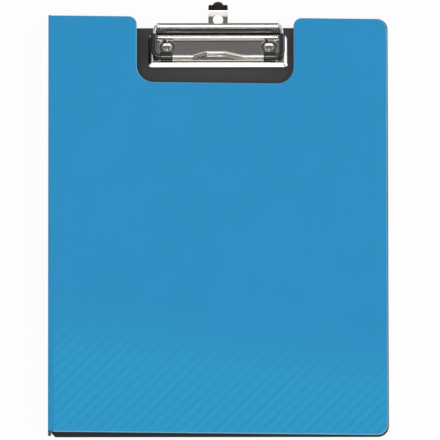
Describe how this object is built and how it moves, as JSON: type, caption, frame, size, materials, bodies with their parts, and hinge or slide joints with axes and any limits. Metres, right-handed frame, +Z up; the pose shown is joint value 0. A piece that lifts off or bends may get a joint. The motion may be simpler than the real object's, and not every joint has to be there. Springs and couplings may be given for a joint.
{
  "type": "clipboard folder",
  "caption": "A4 clipboard folder with a notched hinged cover, spine, rear board, sprung wire clip worked by a lever, and a pull-out hanging eye.",
  "frame": {"origin": "middle of the closed folder, on the flat face that it lies on", "axes": "+X from the spine to the free edge, +Y from the bottom edge to the hanging eye, +Z up through the front cover"},
  "size_m": [0.2488, 0.3274, 0.0165],
  "materials": {
    "blue_sheet": "fine matte, embossed diagonal stripes near the bottom of the cover",
    "black_sheet": "fine-grained matte",
    "sleeve_plastic": "satin moulded",
    "nickel_plate": "bright nickel plated",
    "washer_steel": "zinc plated",
    "pocket_film": "thin satin film"
  },
  "bodies": {
    "rear_panel": {"rear_outer_sheet": "blue_sheet", "rear_board": "black_sheet", "clip_base_plate": "nickel_plate", "clip_rivets": "nickel_plate", "rivet_washers": "washer_steel", "lever_hinge_pin": "nickel_plate"},
    "spine": {"spine_outer_sheet": "blue_sheet", "spine_lining": "black_sheet", "rear_crease": "blue_sheet", "front_crease": "blue_sheet"},
    "front_cover": {"front_cover_sheet": "blue_sheet", "front_cover_lining": "black_sheet", "inside_pocket": "pocket_film"},
    "clamp": {"clip_lever": "nickel_plate", "wire_bail": "nickel_plate", "left_corner_sleeve": "sleeve_plastic", "right_corner_sleeve": "sleeve_plastic"},
    "eye": {"hanging_eye": "nickel_plate"}
  },
  "joints": [
    {"name": "spine_fold", "type": "hinge", "parent": "rear_panel", "child": "spine", "pos_m": [-0.1233, -0.00558, 0.0011], "axis": [0, -1, 0], "range_deg": [0, 180]},
    {"name": "cover_fold", "type": "hinge", "parent": "spine", "child": "front_cover", "pos_m": [-0.1233, -0.00558, 0.0154], "axis": [0, -1, 0], "range_deg": [0, 185]},
    {"name": "clamp_press", "type": "hinge", "parent": "rear_panel", "child": "clamp", "pos_m": [0, 0.13722, 0.0084], "axis": [-1, 0, 0], "range_deg": [0, 35], "stiffness_Nm_per_rad": 0.3, "springref_deg": -20.05},
    {"name": "eye_slide", "type": "slide", "parent": "rear_panel", "child": "eye", "axis": [0, 1, 0], "range_m": [-0.013, 0.005]}
  ]
}
